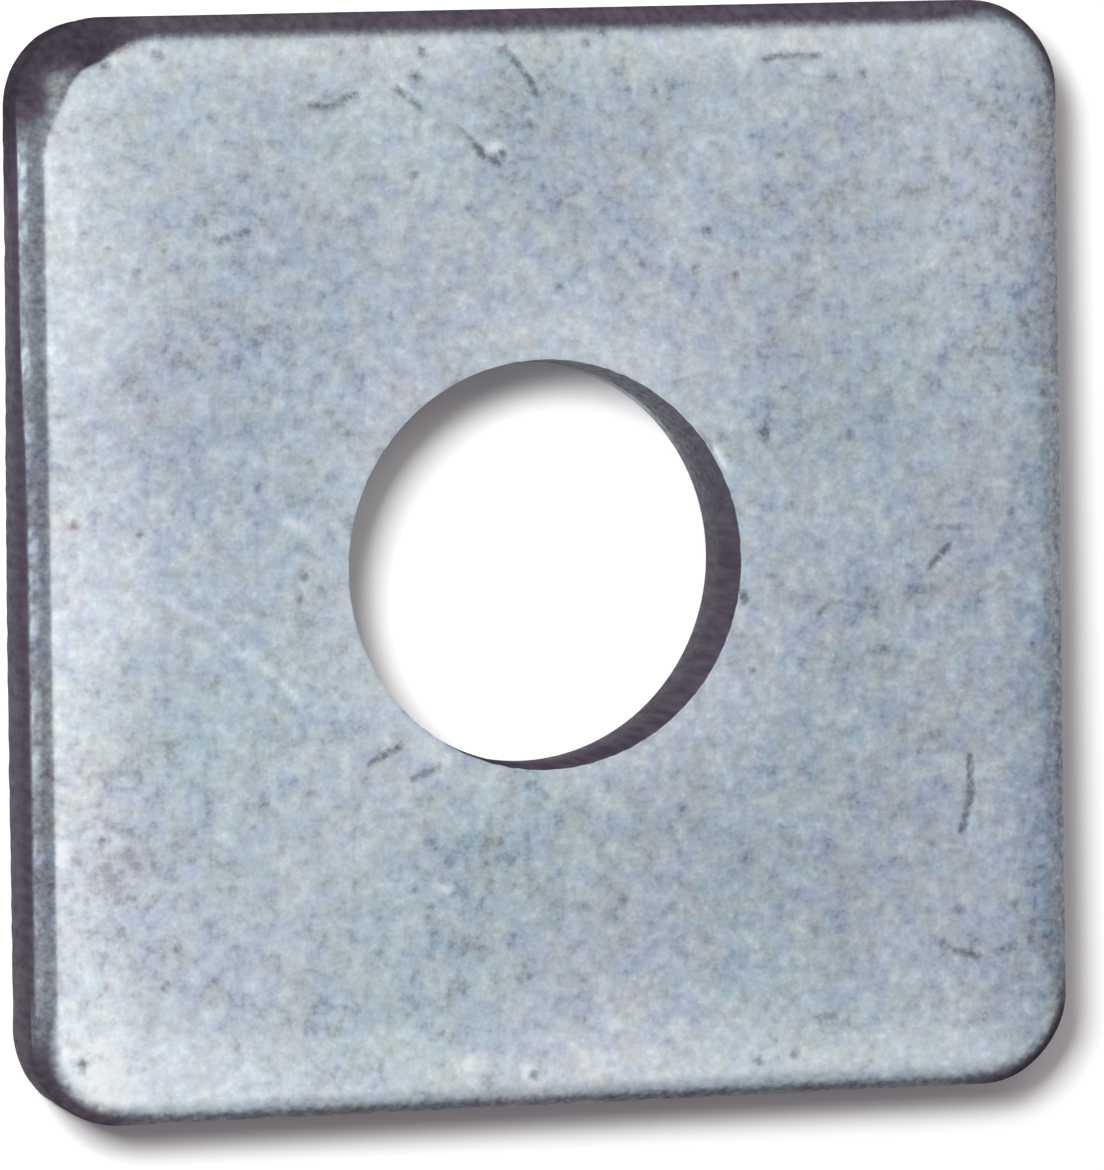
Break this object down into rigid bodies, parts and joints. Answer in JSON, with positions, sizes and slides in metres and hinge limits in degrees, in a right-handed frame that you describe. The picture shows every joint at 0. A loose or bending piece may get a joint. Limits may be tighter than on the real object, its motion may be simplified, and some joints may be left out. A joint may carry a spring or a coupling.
{
  "type": "square plate washer",
  "caption": "Square zinc-plated steel plate washer with rounded corners and a round bolt hole, which spreads a bolt's load over timber or slotted steel.",
  "frame": {"origin": "middle of the plate's lower bearing face", "axes": "+Z out of the rolled upper face along the bolt, +X and +Y square to the plate's sides"},
  "size_m": [0.06, 0.06, 0.005],
  "materials": {
    "zinc_plate": "bright zinc plating over stamped steel, finely mottled, with handling marks"
  },
  "bodies": {
    "root": {"washer": "zinc_plate"}
  },
  "joints": []
}
